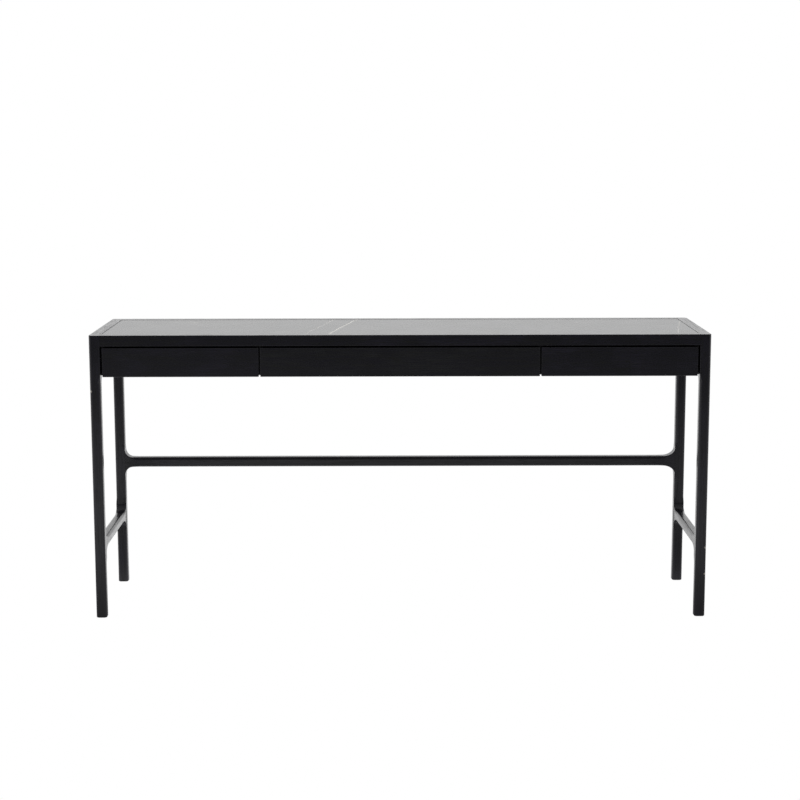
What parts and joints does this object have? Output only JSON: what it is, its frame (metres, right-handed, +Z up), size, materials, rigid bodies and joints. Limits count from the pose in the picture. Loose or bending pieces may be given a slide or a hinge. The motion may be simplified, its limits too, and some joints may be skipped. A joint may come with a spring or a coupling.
{
  "type": "writing desk with drawers",
  "caption": "Slim black writing desk: square-section frame with rounded edges, inset stone top, flat handle-less drawers on telescopic slides, flared stretchers.",
  "frame": {"origin": "middle of the desk's footprint, on the floor plane under the feet", "axes": "+X along the desk to its right end as seen from the front, +Y from the drawer fronts to the back, +Z up"},
  "size_m": [1.6, 0.4, 0.748],
  "materials": {
    "black_oak": "black stain, satin, open pores",
    "stone": "honed dark stone with thin white veins",
    "panel": "black-faced board, matt",
    "drawer_wood": "dark stain, matt",
    "zinc_steel": "zinc plated",
    "glide_plastic": "matt"
  },
  "bodies": {
    "frame": {"back_apron": "black_oak", "drawer_left_slide_left_cabinet": "zinc_steel", "drawer_left_slide_right_cabinet": "zinc_steel", "drawer_middle_slide_left_cabinet": "zinc_steel", "drawer_middle_slide_right_cabinet": "zinc_steel", "drawer_right_slide_left_cabinet": "zinc_steel", "drawer_right_slide_right_cabinet": "zinc_steel", "foot_glide_back_left": "glide_plastic", "foot_glide_back_right": "glide_plastic", "foot_glide_front_left": "glide_plastic", "foot_glide_front_right": "glide_plastic", "leg_back_left": "black_oak", "leg_back_right": "black_oak", "leg_front_left": "black_oak", "leg_front_right": "black_oak", "liner_left": "black_oak", "liner_right": "black_oak", "partition_left": "black_oak", "partition_right": "black_oak", "rear_stretcher": "black_oak", "side_apron_left": "black_oak", "side_apron_right": "black_oak", "side_stretcher_left": "black_oak", "side_stretcher_right": "black_oak", "stone_top": "stone", "sub_top_panel": "panel", "top_rail_back": "black_oak", "top_rail_front": "black_oak", "top_rail_left": "black_oak", "top_rail_right": "black_oak"},
    "drawer_left": {"drawer_left_back": "drawer_wood", "drawer_left_bottom": "drawer_wood", "drawer_left_front": "black_oak", "drawer_left_side_left": "drawer_wood", "drawer_left_side_right": "drawer_wood", "drawer_left_slide_left_drawer": "zinc_steel", "drawer_left_slide_right_drawer": "zinc_steel"},
    "slides_left": {"drawer_left_slide_left_middle": "zinc_steel", "drawer_left_slide_right_middle": "zinc_steel"},
    "drawer_middle": {"drawer_middle_back": "drawer_wood", "drawer_middle_bottom": "drawer_wood", "drawer_middle_front": "black_oak", "drawer_middle_side_left": "drawer_wood", "drawer_middle_side_right": "drawer_wood", "drawer_middle_slide_left_drawer": "zinc_steel", "drawer_middle_slide_right_drawer": "zinc_steel"},
    "slides_middle": {"drawer_middle_slide_left_middle": "zinc_steel", "drawer_middle_slide_right_middle": "zinc_steel"},
    "drawer_right": {"drawer_right_back": "drawer_wood", "drawer_right_bottom": "drawer_wood", "drawer_right_front": "black_oak", "drawer_right_side_left": "drawer_wood", "drawer_right_side_right": "drawer_wood", "drawer_right_slide_left_drawer": "zinc_steel", "drawer_right_slide_right_drawer": "zinc_steel"},
    "slides_right": {"drawer_right_slide_left_middle": "zinc_steel", "drawer_right_slide_right_middle": "zinc_steel"}
  },
  "joints": [
    {"name": "drawer_left_travel", "type": "slide", "parent": "frame", "child": "drawer_left", "axis": [0, -1, 0], "range_m": [0, 0.3]},
    {"name": "slides_left_travel", "type": "slide", "parent": "frame", "child": "slides_left", "axis": [0, -1, 0], "range_m": [0, 0.15]},
    {"name": "drawer_middle_travel", "type": "slide", "parent": "frame", "child": "drawer_middle", "axis": [0, -1, 0], "range_m": [0, 0.3]},
    {"name": "slides_middle_travel", "type": "slide", "parent": "frame", "child": "slides_middle", "axis": [0, -1, 0], "range_m": [0, 0.15]},
    {"name": "drawer_right_travel", "type": "slide", "parent": "frame", "child": "drawer_right", "axis": [0, -1, 0], "range_m": [0, 0.3]},
    {"name": "slides_right_travel", "type": "slide", "parent": "frame", "child": "slides_right", "axis": [0, -1, 0], "range_m": [0, 0.15]}
  ],
  "couplings": [
    {"joint": "slides_left_travel", "follows": "drawer_left_travel", "ratio": 0.5},
    {"joint": "slides_middle_travel", "follows": "drawer_middle_travel", "ratio": 0.5},
    {"joint": "slides_right_travel", "follows": "drawer_right_travel", "ratio": 0.5}
  ]
}
